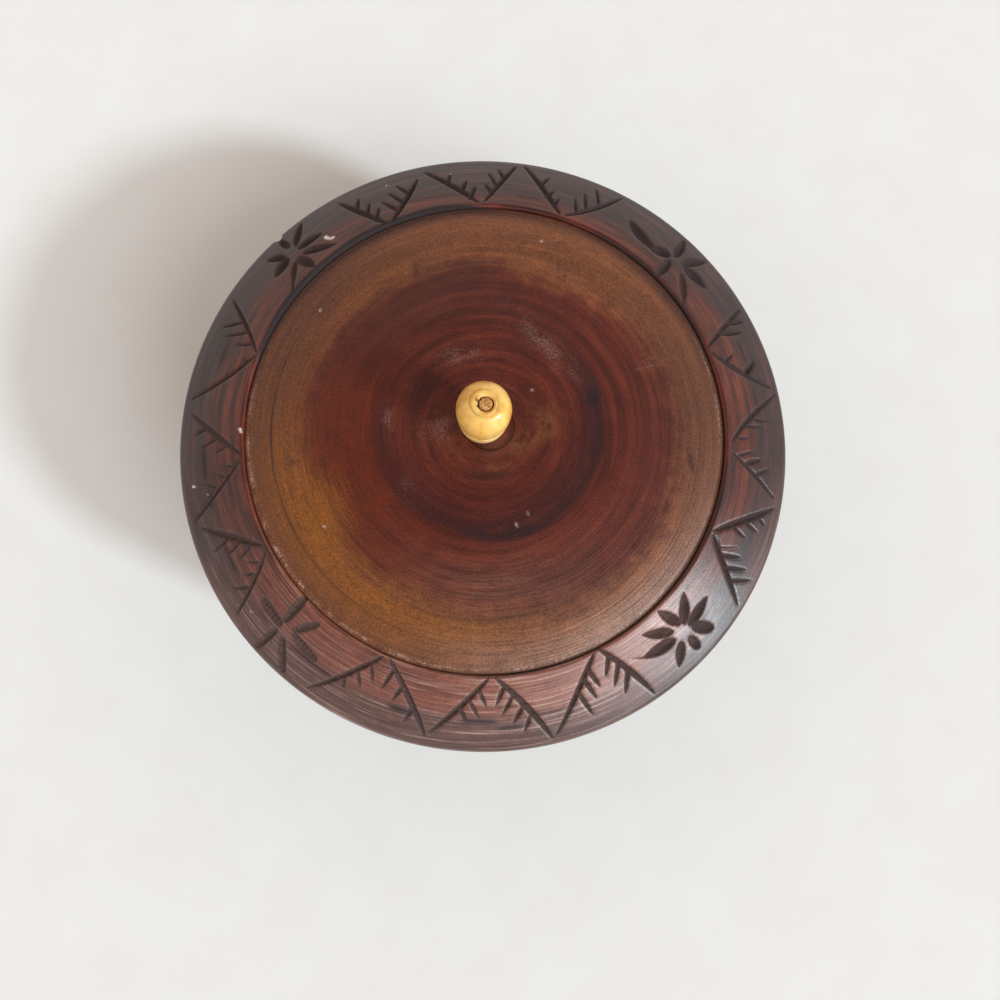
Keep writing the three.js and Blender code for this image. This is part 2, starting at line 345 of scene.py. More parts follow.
petals = [
    # each from its outer tip to its inner end, with the greatest width
    (leaf, 32.2, -0.7, 39.9, 6.4, 2.1), (leaf, 42.7, -1.0, 43.8, 6.7, 2.6), (oval, 49.0, 5.6, 44.9, 8.1, 3.4),
    (oval, 56.6, 10.0, 52.6, 7.0, 48.0, 6.3, 3.3), (leaf, 34.0, 9.8, 40.5, 8.7, 3.2),
    (leaf, 39.1, 17.4, 41.6, 8.8, 2.6), (leaf, 45.4, 17.4, 43.8, 9.0, 2.6),
    (leaf, 127.9, 2.0, 135.0, 7.0, 2.4), (leaf, 135.6, 0.5, 136.6, 6.8, 2.9),
    (leaf, 142.8, 1.4, 137.4, 6.8, 1.8), (hatch, 141.0, 2.9, 145.2, -0.6, 0.7),
    (leaf, 128.4, 8.4, 134.9, 9.4, 2.3), (leaf, 143.2, 8.1, 138.0, 9.3, 3.0),
    (leaf, 129.9, 17.2, 134.8, 10.8, 2.2), (oval, 135.8, 17.0, 135.9, 12.0, 2.1),
    (leaf, 140.9, 14.9, 138.0, 10.4, 2.3),
    (rod, 223.8, -0.9, 224.0, 6.9, 2.4), (rod, 229.9, 1.8, 226.7, 7.0, 2.1),
    (rod, 217.6, 7.9, 223.7, 8.5, 2.5), (rod, 233.7, 9.2, 227.4, 7.9, 2.3),
    (rod, 223.3, 17.6, 223.9, 10.1, 2.0), (rod, 230.0, 17.3, 227.6, 13.4, 226.0, 10.6, 2.1),
    (leaf, 303.7, 7.2, 311.6, 8.9, 3.3), (hatch, 304.6, 7.6, 301.8, 5.6, 0.5),
    (leaf, 306.2, 2.1, 312.3, 7.0, 2.7), (leaf, 312.4, 0.1, 314.5, 6.9, 2.8),
    (leaf, 319.9, 1.9, 315.1, 7.6, 2.9), (leaf, 322.9, 7.7, 315.7, 8.8, 2.9),
    (oval, 318.9, 14.6, 316.1, 9.8, 3.3), (oval, 314.3, 15.3, 314.2, 11.2, 2.7),
    (leaf, 308.9, 15.5, 312.3, 10.5, 2.8),
]
cuts = list(petals)
for left, right, (left_width, right_width), kind, hatch_width, strokes in triangles:
    cuts += [(leg, *left, left_width), (leg, *right, right_width)]
    cuts += [(kind, *stroke, hatch_width) if len(stroke) == 4 else (kind, *stroke) for stroke in strokes]
far_from_cuts = 3.0


def turned_from(bearing, middle):
    """Degrees from one bearing to others, between minus 180 and plus 180."""
    return (bearing - middle + 180) % 360 - 180


def carve(angle, out, radius):
    """Depth of the carving and distance to the nearest cut's edge, both in millimetres, on a grid of
    degrees by millimetres. A cut's centre line is a quadratic curve. Its half width rises as a power of
    a sine to the widest place and falls as a power of a cosine. Across, its depth is a parabola, and
    the tool's chatter makes it deeper and shallower as a sine of the distance along the cut."""
    chatter_spacing = 1.05
    past_edge = 1.2
    depth = np.zeros((len(out), len(angle)))
    edge = np.full((len(out), len(angle)), far_from_cuts)
    for (widest, first, last, hollow, chatter), *numbers, width in cuts:
        stations = np.array(numbers).reshape(-1, 2)
        start, end = stations[0], stations[-1]
        bend = 2 * stations[1] - (start + end) / 2 if len(stations) == 3 else (start + end) / 2
        part = np.linspace(0, 1, 33)[:, None]
        line = (1 - part) ** 2 * start + 2 * part * (1 - part) * bend + part ** 2 * end
        rise = np.sin(np.pi / 2 * np.clip(part / widest, 0, 1)) ** first
        fall = np.cos(np.pi / 2 * np.clip((part - widest) / (1 - widest), 0, 1)) ** last
        half = (width / 2 * rise * fall)[:, 0]
        margin = width / 2 + past_edge
        middle = line[:, 0].mean()
        away = turned_from(angle, middle)
        reach = np.ptp(line[:, 0]) / 2 + np.degrees(margin / radius.min())
        columns = np.flatnonzero(np.abs(away) < reach)
        rows = np.flatnonzero((out > line[:, 1].min() - margin) & (out < line[:, 1].max() + margin))
        if not len(rows) or not len(columns):
            continue
        x = np.radians(away[columns])[None, :] * radius[rows][:, None]
        y = np.broadcast_to(out[rows][:, None], x.shape)
        nearest = np.full(x.shape, 1e9)
        across = np.full(x.shape, 1e9)
        wide = np.zeros(x.shape)
        passed = np.zeros(x.shape)
        cx = np.radians(line[:, 0] - middle) * np.interp(line[:, 1], out[::-1], radius[::-1])
        cy = line[:, 1]
        travel = np.concatenate([[0], np.cumsum(np.hypot(np.diff(cx), np.diff(cy)))])
        for k in range(len(line) - 1):
            ax, ay, bx, by = cx[k], cy[k], cx[k + 1], cy[k + 1]
            length = max((bx - ax) ** 2 + (by - ay) ** 2, 1e-9)
            share = np.clip(((x - ax) * (bx - ax) + (y - ay) * (by - ay)) / length, 0, 1)
            apart = np.hypot(x - ax - share * (bx - ax), y - ay - share * (by - ay))
            here = half[k] + share * (half[k + 1] - half[k])
            better = apart - here < nearest
            nearest = np.where(better, apart - here, nearest)
            across = np.where(better, apart, across)
            wide = np.where(better, here, wide)
            passed = np.where(better, travel[k] + share * (travel[k + 1] - travel[k]), passed)
        block = np.ix_(rows, columns)
        ripple = 1 + chatter * np.sin(2 * np.pi * passed / chatter_spacing)
        bowl = np.clip(1 - (across / np.maximum(wide, 1e-6)) ** 2, 0, 1) * wide * hollow * ripple
        depth[block] = np.maximum(depth[block], bowl)
        edge[block] = np.minimum(edge[block], nearest)
    return depth, edge


def round_rim(bearing, knots):
    """A value round the rim, straight between its (degrees, value) knots."""
    places, values = np.array(knots, float).T
    return np.interp(bearing, places, values, period=360)


def soft_step(distance, softness):
    """Rises from 0 to 1 as the distance passes zero: one over one plus e to minus distance over softness."""
    return 1 / (1 + np.exp(-distance / softness))


# What the years did to the shoulder, with a painted sheen and painted seam shade among it, in degrees round the
# rim and millimetres out from the mouth.
# Past these distances the red wood near the mouth turns grey with handling.
greyed_past = [(0, 9), (30, 8), (42, 5.5), (60, 5), (95, 4.2), (112, 6.5), (130, 8.4), (165, 9.6), (240, 9.6),
               (285, 9.5), (320, 8), (345, 8.5)]
# Dark stain has run out of the seam as far as these distances. From 240 to 350 degrees it is painted shade on the
# inner rounding of the rim, where the seam lies in shadow.
stain_and_seam_shade_up_to = [(0, -2), (18, -1.4), (24, -0.5), (36, -0.2), (50, -0.5), (62, -0.9), (70, -2), (88, -1.4),
                 (96, 0.3), (103, 0.8), (110, 0.5), (124, 0.9), (132, 0.5), (146, 0.8), (152, 0.5), (160, 0),
                 (168, -2), (240, -1.4), (275, -0.6), (330, -0.6), (350, -1.6)]
# The stain is worn through to paler wood on the near left and along the outer edge. From 240 to 321 degrees,
# strongest at 295 to 311, the paler wood is painted sheen where the light gleams on the shoulder.
worn_face_and_sheen = [(190, 0), (215, 0.3), (240, 0.6), (278, 0.9), (295, 1.25), (311, 1.25), (321, 0.4), (332, 0)]
worn_edge = [(195, 0), (212, 0.5), (235, 0.6), (262, 0.6), (290, 0.35), (320, 0.3), (345, 0.3), (355, 0)]
# Dirt and old stain sit in the cuts, and on the near left only grey dust.
cut_dirt = [(0, 0.85), (60, 1), (150, 0.95), (170, 0.5), (185, 0.25), (235, 0.2), (262, 0.5), (290, 0.95),
            (335, 0.95)]
# Dark lines in the growth rings: degrees from and to, millimetres out, thickness, strength.
ring_lines = [
    (6, 9.5, 9.9, 0.45, 0.8), (16, 20.5, 9.9, 0.4, 0.9), (77, 83, 4.0, 0.5, 0.45), (97, 108, 4.1, 0.5, 0.45),
    (159, 166, 9.7, 0.7, 0.6), (183, 190, 10.6, 0.8, 0.8), (192, 196, 10.2, 0.5, 0.8),
    (190, 198, 3.8, 0.5, 0.5), (204, 210, 10.0, 0.5, 0.8), (214, 217, 3.9, 0.4, 0.4),
    (219, 222, 10.6, 0.4, 0.6), (228, 238, 10.4, 0.5, 0.8), (250.5, 256, 10.7, 0.8, 1.0),
    (256, 263, 10.6, 0.35, 0.6), (265, 272, 10.6, 0.8, 0.9), (272, 277, 12.4, 0.6, 0.9),
    (279, 285, 10.1, 0.35, 0.6), (309, 320, 10.7, 0.3, 0.3), (334, 338, 10.5, 0.35, 0.5),
    (355, 362, 10.4, 0.45, 0.7),
]
# Flecks of white paint: degrees, millimetres out, radius.
paint_flecks = [
    (127.6, 4.7, 0.4), (128.2, 5.0, 0.4), (128.6, 5.7, 0.45), (128.8, 6.4, 0.5), (190.4, 14.8, 0.25),
    (190.5, 14.3, 0.25), (192.8, 10.7, 0.15), (180.2, 0.1, 0.35), (180.8, -0.1, 0.25), (217.9, 12.6, 0.15),
    (111.2, 13.9, 0.2), (97.5, 13.0, 0.15), (67.0, -1.9, 0.2), (292.5, 0.6, 0.1),
]
# How far the change from clean to stained (with the painted seam shade), worn (with the painted sheen) or painted
# spreads, in millimetres and at the ends of the dark lines in degrees; how far greying is told apart; and the
# stain on the seat's wall.
stain_softness, line_end_softness, worn_softness, fleck_softness = 0.16, 0.35, 0.8, 0.25
outer_part_from = 14.5
greying_reach = 4.0
seat_staining = 0.35
# A chip has broken out of the edge behind one flower. It gets shallower below its floor and ends.
chip_bearing, chip_half_width, chip_depth, chip_floor = 135.6, 1.25, 1.6, 58.8
chip_taper, chip_tail = 1.5, 3.0
broken_wood = -0.2

fine_columns = 1200
coarse_columns = 300
band_first = 1 + len(outside)
band_last = band_first + len(band)
band_rows = slice(band_first, band_last)
fine_angle = np.arange(fine_columns) * 360 / fine_columns
out = along[band_rows][:, None]
depth, edge = carve(fine_angle, along[band_rows], profile[band_rows, 0])
greying = np.clip(out - round_rim(fine_angle, greyed_past), -greying_reach, greying_reach)
stain_and_seam_shade = soft_step(round_rim(fine_angle, stain_and_seam_shade_up_to) - out, stain_softness)
for start, end, middle, thickness, strength in ring_lines:
    ends = soft_step((end - start) / 2 - np.abs(turned_from(fine_angle, (start + end) / 2)), line_end_softness)
    stain_and_seam_shade = np.maximum(stain_and_seam_shade, strength * ends * np.exp(-((out - middle) / thickness) ** 2))
outer_share = soft_step(out - outer_part_from, worn_softness)
# Wear, and painted sheen, on the shoulder's face and its outer edge.
wear_and_sheen = round_rim(fine_angle, worn_face_and_sheen) * (1 - outer_share) + round_rim(fine_angle, worn_edge) * outer_share
flecks = np.zeros(stain_and_seam_shade.shape)
for bearing, middle, size in paint_flecks:
    away = np.radians(turned_from(fine_angle, bearing)) * profile[band_rows, 0][:, None]
    flecks = np.maximum(flecks, np.clip((size - np.hypot(away, out - middle)) / fleck_softness + 0.5, 0, 1))

in_the_band = {"cut_edge": edge, "greying": greying, "stain_and_seam_shade": stain_and_seam_shade, "wear_and_sheen": wear_and_sheen, "flecks": flecks}
rings = []
fields = {name: [] for name in ("cut_edge", "cut_dirt", "from_mouth", "greying", "stain_and_seam_shade", "wear_and_sheen", "flecks")}
for row, (radius, height) in enumerate(profile):
    in_band = band_first <= row < band_last
    here = row - band_first
    if row in (0, len(profile) - 1):
        count = 1
    elif in_band:
        count = fine_columns
    elif row in (band_first - 1, band_last):
        count = fine_columns // 2
    else:
        count = coarse_columns
    angle = np.arange(count) * 2 * np.pi / count
    sunk = depth[here] if in_band else np.zeros(count)
    reach = radius - normal[row, 0] * sunk
    level = height - normal[row, 1] * sunk
    off_chip = np.radians(np.degrees(angle) - chip_bearing) * radius / chip_half_width
    bitten = chip_depth * np.sqrt(np.clip(1 - off_chip ** 2, 0, 1))
    edge_limit = body_radius - bitten + max(chip_floor - height, 0) * chip_taper
    chipped = (reach > edge_limit) & (height > chip_floor - chip_tail) & (bitten > 0)
    reach = np.where(chipped, edge_limit, reach)
    rings.append(level_ring(reach, level, count))
    elsewhere = {
        "cut_edge": far_from_cuts, "greying": greying_reach if along[row] > 0 else -greying_reach,
        "stain_and_seam_shade": seat_staining if ledge_height <= height < rim_height else 0.0, "wear_and_sheen": 0.0, "flecks": 0.0,
    }
    for name, value in elsewhere.items():
        fields[name].append(in_the_band[name][here] if in_band else np.full(count, value))
    fields["cut_edge"][-1] = np.where(chipped, broken_wood, fields["cut_edge"][-1])
    fields["cut_dirt"].append(round_rim(np.degrees(angle), cut_dirt))
    fields["from_mouth"].append(np.full(count, along[row]))
points, faces = closed_rings(rings)
fields = {name: np.concatenate(parts) for name, parts in fields.items()}

stained_wood, tree, place = new_material("stained_rosewood")
# Turned and stained rosewood: fine lathe lines 0.45 mm apart under a worn wax gleam, long dark streaks
# 1.6 mm wide, pores of 0.4 mm, and bare dull wood in the cuts. A line is as long as the circle that it
# is read on is small: the box's own circle would make it no longer than it is wide.
lathe_lines_per_mm, streaks_per_mm, pores_per_mm = 2.2, 0.62, 2.4
lathe_circle, streak_circle, scratch_circle = 1.6, 6, 26
flat = add_node(tree, "VectorMath", {0: place, 1: (1, 1, 0)}, operation="MULTIPLY").outputs[0]
compass = add_node(tree, "VectorMath", {0: flat}, operation="NORMALIZE").outputs[0]
outwards, greying, wear_and_sheen, stain_and_seam_shade, cut_distance, cut_dirt, fleck_share = [
    add_node(tree, "Attribute", attribute_name=name).outputs["Fac"]
    for name in ("from_mouth", "greying", "wear_and_sheen", "stain_and_seam_shade", "cut_edge", "cut_dirt", "flecks")
]
ring_place = add_node(tree, "CombineXYZ", {"Z": outwards}).outputs[0]
cross_place = add_node(tree, "VectorMath", {0: ring_place, "Scale": 0.3}, operation="SCALE").outputs[0]
lathe_place, streak_place, scratch_place = [
    add_node(
        tree, "VectorMath", {0: compass, 1: (circle,) * 3, 2: outward}, operation="MULTIPLY_ADD"
    ).outputs[0]
    for circle, outward in [(lathe_circle, ring_place), (streak_circle, ring_place), (scratch_circle, cross_place)]
]
# The last are scratches and rays of the grain that run outwards, 2 degrees wide and 3 mm long.
lathe_lines, streaks, speckle, scratches = [
    add_node(
        tree, "TexNoise",
        {"Vector": vector, "Scale": scale, "Detail": detail, "Roughness": roughness},
    ).outputs["Fac"]
    for vector, scale, detail, roughness in [
        (lathe_place, lathe_lines_per_mm, 3, 0.65), (streak_place, streaks_per_mm, 5, 0.62),
        (place, pores_per_mm, 2, 0.8), (scratch_place, 1, 4, 0.5),
    ]
]
red_wood = add_node(
    tree, "ValToRGB", {"Fac": streaks},
    stops=[(0.34, linear("#260c09")), (0.46, linear("#43140c")), (0.56, linear("#581f12")),
           (0.7, linear("#6e2e1b"))],
).outputs["Color"]
grey_wood = add_node(
    tree, "ValToRGB", {"Fac": streaks},
    stops=[(0.34, linear("#1c0c0e")), (0.5, linear("#2e1416")), (0.66, linear("#482422"))],
).outputs["Color"]
wander = add_node(tree, "Math", {0: streaks, 1: 10.0, 2: -5.0}, operation="MULTIPLY_ADD").outputs[0]
greying = add_node(tree, "Math", {0: greying, 1: wander}, operation="ADD").outputs[0]
grey_share = add_node(
    tree, "MapRange", {"Value": greying, "From Min": -2.2, "From Max": 2.2},
    interpolation_type="SMOOTHSTEP",
).outputs[0]
wood = add_node(tree, "Mix", {0: grey_share, 6: red_wood, 7: grey_wood}, data_type="RGBA").outputs[2]
# Paler wood where the stain is worn, and painted sheen on the near right of the shoulder.
wear_and_sheen = add_node(tree, "Math", {0: wear_and_sheen, 1: streaks}, operation="MULTIPLY").outputs[0]
wear_and_sheen = add_node(tree, "Math", {0: wear_and_sheen, 1: 1.8}, operation="MULTIPLY", use_clamp=True).outputs[0]
bare_wood_and_sheen = add_node(
    tree, "Mix", {0: grey_share, 6: linear("#8a5141"), 7: linear("#6e4c46")}, data_type="RGBA"
).outputs[2]
wood = add_node(tree, "Mix", {0: wear_and_sheen, 6: wood, 7: bare_wood_and_sheen}, data_type="RGBA").outputs[2]
# The tops of the finest lathe lines are painted pale where the stain is worn and where the sheen falls: painted
# glints of light along the lines.
painted_glints = add_node(
    tree, "MapRange", {"Value": lathe_lines, "From Min": 0.5, "From Max": 0.64, "To Max": 0.5}
).outputs[0]
painted_glints = add_node(tree, "Math", {0: painted_glints, 1: wear_and_sheen}, operation="MULTIPLY").outputs[0]
wood = add_node(tree, "Mix", {0: painted_glints, 6: wood, 7: linear("#ad958c")}, data_type="RGBA").outputs[2]
grain = -0.65
for pattern, share in [(lathe_lines, 1.4), (speckle, 1.4), (scratches, 0.5)]:
    grain = add_node(tree, "Math", {0: pattern, 1: share, 2: grain}, operation="MULTIPLY_ADD").outputs[0]
wood = add_node(tree, "VectorMath", {0: wood, "Scale": grain}, operation="SCALE").outputs[0]
in_cut = add_node(
    tree, "MapRange", {"Value": cut_distance, "From Min": 0.14, "From Max": -0.16}
).outputs[0]
cut_wood = add_node(
    tree, "ValToRGB", {"Fac": speckle}, stops=[(0.35, linear("#160b0a")), (0.65, linear("#38211c"))]
).outputs["Color"]
dusty_cut = add_node(
    tree, "ValToRGB", {"Fac": speckle}, stops=[(0.35, linear("#35211e")), (0.65, linear("#5d4640"))]
).outputs["Color"]
cut_wood = add_node(tree, "Mix", {0: cut_dirt, 6: dusty_cut, 7: cut_wood}, data_type="RGBA").outputs[2]
cut_share = add_node(tree, "Math", {0: in_cut, 1: 0.85}, operation="MULTIPLY").outputs[0]
# Stain, with painted shade in the seam on the near right; then the cuts and the paint flecks.
for share, colour in [(stain_and_seam_shade, linear("#200f11")), (cut_share, cut_wood), (fleck_share, linear("#e6ddd2"))]:
    wood = add_node(tree, "Mix", {0: share, 6: wood, 7: colour}, data_type="RGBA").outputs[2]
torn = add_node(tree, "Math", {0: in_cut, 1: 2.0, 2: 0.35}, operation="MULTIPLY_ADD").outputs[0]
relief = add_node(tree, "Math", {0: speckle, 1: torn, 2: lathe_lines}, operation="MULTIPLY_ADD").outputs[0]
dents = add_node(tree, "Bump", {"Height": relief, "Strength": 0.8, "Distance": 0.0001})
dullness = add_node(tree, "Math", {0: in_cut, 1: fleck_share}, operation="MAXIMUM").outputs[0]
dullness = add_node(tree, "Math", {0: dullness, 1: stain_and_seam_shade}, operation="MAXIMUM").outputs[0]
shine = add_node(
    tree, "MapRange", {"Value": dullness, "To Min": 0.35, "To Max": 0.85}
).outputs[0]
shader = add_node(
    tree, "BsdfPrincipled",
    {"Base Color": wood, "Roughness": shine, "IOR": 1.5, "Specular IOR Level": 0.6, "Normal": dents.outputs[0]},
)
add_node(tree, "OutputMaterial", {"Surface": shader.outputs[0]})

carved_body = put_mesh("carved_body", points, faces, stained_wood, fields)
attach(carved_body, "box")
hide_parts("box_body")

# Lid. A turned disc of the same wood, oiled but not stained: red heartwood in the middle, paler
# sapwood round it. It has a crisp edge over a low lip, a scribed ring, a seat for the bead and a spigot.
lid_seat = 64.3
lid_radius = 56.4
lid_face_radius = 56.15
lip_level = 68.18
lip_radius = 56.95
spigot_radius = 51.0
dish_radius = 44.0
dish_level = 63.3
spigot_level = 60.3
crown_level = 69.8
seat_radius = 5.8
seat_level = 69.0
hole_radius = 1.75
seat_shift = np.array([0.85, 0.45])
hole_shift = np.array([-0.35, 0.15])
crown_rise, crown_power = 1.6, 11
scribe_radius, scribe_depth = 50.5, 0.1


def crown_height(radius):
    """The crown less the rise times a high power of the radius over the lid's radius."""
    return crown_level - crown_rise * (radius / lid_radius) ** crown_power


def endless_rings(rings):
    """Joins rings of points into one skin whose last ring is joined to its first."""
    points, faces = closed_rings(rings + [rings[0]])
    count = len(points) - len(rings[0])
    return points[:count], [[corner % count for corner in face] for face in faces]


lid_underside = np.concatenate([
    straight((hole_radius, dish_level), (dish_radius, dish_level), 9),
    straight((dish_radius + 0.6, dish_level - 0.6), (47, spigot_level), 4),
    straight((48, spigot_level), (spigot_radius - 0.4, spigot_level), 3),
    straight((spigot_radius, spigot_level + 0.4), (spigot_radius, lid_seat), 4),
    straight((52, lid_seat), (lip_radius - 0.3, lid_seat), 4),
    straight((lip_radius, lid_seat + 0.3), (lip_radius, lip_level - 0.2), 3),
])
edge_top = crown_height(lid_face_radius)
outer_rows, inner_rows = 9, 76
crown_radii = np.concatenate([
    np.linspace(55.7, 51.2, outer_rows), scribe_radius + np.array([0.4, 0.2, 0, -0.2, -0.4]),
    np.linspace(49.6, 7.6, inner_rows), [7.1, 6.7],
])
crown_drop = np.concatenate([
    np.zeros(outer_rows), [0, 0, -scribe_depth, 0, 0], np.zeros(inner_rows + 1), [-0.03],
])
lid_top = np.concatenate([
    [(lip_radius - 0.1, lip_level - 0.03), (lip_radius - 0.25, lip_level)],
    [(lid_face_radius + 0.12, lip_level + 0.01), (lid_face_radius + 0.03, lip_level + 0.03)],
    [(lid_face_radius - 0.04, edge_top - 0.03), (lid_face_radius - 0.16, edge_top - 0.01)],
    np.stack([crown_radii, crown_height(crown_radii) + crown_drop], 1),
    [(seat_radius + 0.15, crown_level - 0.1), (seat_radius, crown_level - 0.25), (seat_radius, seat_level)],
    straight((5, seat_level), (hole_radius, seat_level), 4),
])
lid_columns = 720
# The seat and the peg's hole lie off the middle. The rings round them come back to it by these radii.
seat_shift_ends, hole_shift_ends = 14, 5
rings = []
for row, (radius, height) in enumerate(np.concatenate([lid_underside, lid_top])):
    on_top = len(lid_underside) <= row < len(lid_underside) + len(lid_top) - 1
    seat_pull = np.interp(radius, [seat_radius, seat_shift_ends], [1, 0]) if height > lid_seat else 0
    hole_pull = np.interp(radius, [hole_radius, hole_shift_ends], [1, 0])
    centre = seat_shift * seat_pull * (1 - hole_pull) + hole_shift * hole_pull
    rings.append(level_ring(radius, height, lid_columns if on_top else lid_columns // 2, centre))
points, faces = endless_rings(rings)


def patches(points, blobs):
    """Sum of soft oval patches: each is its strength times a bell curve of the distance over its reach."""
    total = np.zeros(len(points))
    for x, y, along_x, along_y, turned, strength in blobs:
        cosine, sine = np.cos(np.radians(turned)), np.sin(np.radians(turned))
        u = ((points[:, 0] - x) * cosine + (points[:, 1] - y) * sine) / along_x
        v = (-(points[:, 0] - x) * sine + (points[:, 1] - y) * cosine) / along_y
        total += strength * np.exp(-(u * u + v * v))
    return total


def arcs(bands):
    """Sum of soft curved bands round the lid: a bell curve across the radius times one round the angle."""
    total = np.zeros(len(lid_reach))
    for ring_radius, thickness, middle, spread, strength in bands:
        away = turned_from(lid_bearing, middle)
        total += strength * np.exp(-((lid_reach - ring_radius) / thickness) ** 2 - (away / spread) ** 2)
    return total


lid_reach = np.hypot(points[:, 0], points[:, 1])
lid_bearing = np.degrees(np.arctan2(points[:, 1], points[:, 0])) % 360
lid_upper = points[:, 2] > lip_level - 0.1
# The heartwood ends at these radii.
heart_edge = [(0, 46), (11, 45.5), (20, 45), (34, 43.6), (48, 41.6), (62, 40), (75, 39.4), (88, 42.4),
              (98, 42.6), (110, 42), (125, 41.8), (136, 42.2), (150, 43.5), (165, 43.6), (185, 43.6),
              (195, 42.6), (203, 39), (211, 38.4), (219, 42.8), (240, 43), (254, 43.7), (270, 43.8),
              (290, 44.5), (310, 45.5), (325, 47), (342, 46)]
sapwood = np.clip(lid_reach - round_rim(lid_bearing, heart_edge), -5, 5)
# A purple crescent of stain: its outer radii and its strengths, by degrees. It fades slowly inwards
# and quickly outwards.
crescent_edge = round_rim(lid_bearing, [
    (14, 27.5), (25, 28.4), (54, 29.5), (100, 30), (150, 28), (173, 26.8), (191, 26.2), (222, 25.5),
    (250, 24.6), (277, 26.3), (299, 26.9), (328, 26.2), (350, 27),
])
crescent_strength = round_rim(lid_bearing, [
    (14, 0.8), (25, 0.7), (45, 0.45), (60, 0.35), (80, 0.1), (150, 0.0), (172, 0.3), (191, 0.5), (222, 0.6),
    (250, 0.75), (277, 1.0), (299, 0.95), (328, 0.75),
])
fades_inwards, fades_outwards = 5.5, 0.8
inward = crescent_edge - lid_reach
crescent = crescent_strength * np.exp(-(inward / np.where(inward > 0, fades_inwards, fades_outwards)) ** 2)
# Stains, dust and wear, with painted sheen, a painted highlight on the lid's edge, and painted shade in the seam
# and where the knob's shadow falls. Bands are radius, thickness, middle and spread in degrees, and strength.
# Patches are place, two reaches, turn in degrees, and strength.
lid_fields = {
    "sapwood": sapwood,
    "orange_oil": arcs([(35, 9, 176, 34, 0.95), (30, 6, 205, 30, 0.6), (38, 5, 222, 18, 0.5)]),
    "gold": arcs([
        (49, 6, 205, 42, 0.85), (42, 5, 207, 11, 0.8), (47, 5, 245, 22, 0.7), (48, 4, 272, 16, 0.4),
        (46, 4, 128, 13, 0.35),
    ]),
    # Darker wood, with painted shade in the seam at 56.3 mm round 300 degrees; the band at the scribe radius
    # darkens the scribed ring.
    "darker_wood_and_seam_shade": arcs([
        (36, 6, 122, 34, 0.45), (41, 3, 97, 9, 0.5), (31, 4, 90, 40, 0.2), (50, 7, 8, 30, 0.6),
        (50, 7, 138, 32, 0.55), (49, 8, 172, 20, 0.3), (54, 2.6, 200, 38, 0.35),
        (scribe_radius, 0.3, 200, 45, 0.8), (56, 1.6, 105, 55, 0.75),
        (55.8, 1.3, 35, 30, 0.55), (56.3, 0.6, 300, 42, 0.6), (16, 4, 200, 40, 0.2),
        (44.5, 0.8, 262, 40, 0.35), (42, 4, 300, 22, 0.25),
    ]) + patches(points, [
        (48.5, -8, 0.8, 3.2, 10, 0.6), (26.7, 26.6, 1.0, 1.0, 0, 0.7), (-17.2, 40.5, 0.7, 3.0, 4, 0.6),
        (-2, -39, 0.8, 0.8, 0, 0.6), (18.4, 47.4, 1.1, 0.5, 0, 0.6), (17.4, 45.9, 0.35, 1.2, 12, 0.6),
        (19.5, 46.0, 0.35, 1.0, -12, 0.5), (17.7, 40.8, 0.4, 2.4, -3, 0.5), (-45.2, -8.2, 1.0, 0.8, 0, 0.5),
    ]),
    # Dark stain; the band at 18 mm round 148 degrees is the knob's cast shadow, painted.
    "dark_stain_and_knob_shadow": crescent + arcs([
        (11.6, 1.7, 272, 32, 0.75), (18, 3, 148, 14, 0.4), (56.6, 0.8, 128, 30, 1.3),
    ]) + patches(points, [
        (25.4, 7.6, 1.6, 2.2, 0, 0.6), (-5, 35, 3, 2, 20, 0.25), (9, 22, 5, 4, 30, 0.25),
        (4.5, 34, 3, 1.6, 0, 0.3),
    ]),
    "rubbed_brown": patches(points, [
        (13.5, 1.5, 4.5, 4.0, -20, 0.6), (8.5, -4.0, 3.2, 2.4, 30, 0.6), (2, -9.3, 4, 1.2, 5, 0.35),
        (-8, -4.5, 3, 2, -50, 0.4),
    ]),
    "dust": patches(points, [
        (-6.5, 18.2, 5.5, 2.2, 12, 0.4), (-11, 0.2, 4, 2.8, 20, 0.4), (14, 21, 10, 2.2, -47, 0.4),
        (-23.4, 1.2, 1.2, 4, 0, 0.45), (-18, -15, 3.4, 2.4, -35, 0.25), (38.5, 15.3, 3.2, 0.25, 15, 0.4),
        (39.5, 17.4, 2.4, 0.2, 20, 0.35),
    ]),
    # Painted sheen: paler wood where the light gleams on the near right of the lid.
    "painted_sheen": arcs([(54, 4.5, 303, 27, 0.75), (52, 4, 268, 14, 0.2), (38, 7, 275, 32, 0.2)]),
    # Painted highlight: a pale line where the lid's edge catches the light, and one in the sheen at 53.6 mm.
    "painted_edge_highlight": arcs([
        (56.05, 0.3, 208, 38, 0.9), (56.05, 0.3, 262, 30, 0.6), (56.05, 0.3, 10, 14, 0.5),
        (56.05, 0.3, 310, 25, 0.5), (53.6, 0.35, 312, 14, 0.35),
    ]),
    # Dark stain in the seam, and painted shade in the gap between the lid and the rim.
    "seam_stain_and_shade": np.where(lid_upper & (lid_reach > lid_face_radius - 0.02), 1.0, 0.0) * round_rim(lid_bearing, [
        (0, 0.3), (20, 0.8), (62, 0.7), (70, 0.2), (88, 0.3), (95, 1), (160, 1), (172, 0.2), (182, 0), (232, 0),
        (242, 0.15), (345, 0.2),
    ]),
    "specks": patches(points, [
        (13.7, 47.8, 0.3, 0.3, 0, 0.9), (-40.1, 29.3, 0.3, 0.3, 0, 0.7), (-37.3, -23.3, 0.3, 0.3, 0, 0.7),
        (6.9, -23, 0.4, 0.25, -45, 0.9), (9.6, -20.3, 0.3, 0.3, 0, 0.6), (10.9, 9.4, 0.3, 0.3, 0, 0.6),
    ]),
}

oiled_wood, tree, place = new_material("oiled_rosewood")
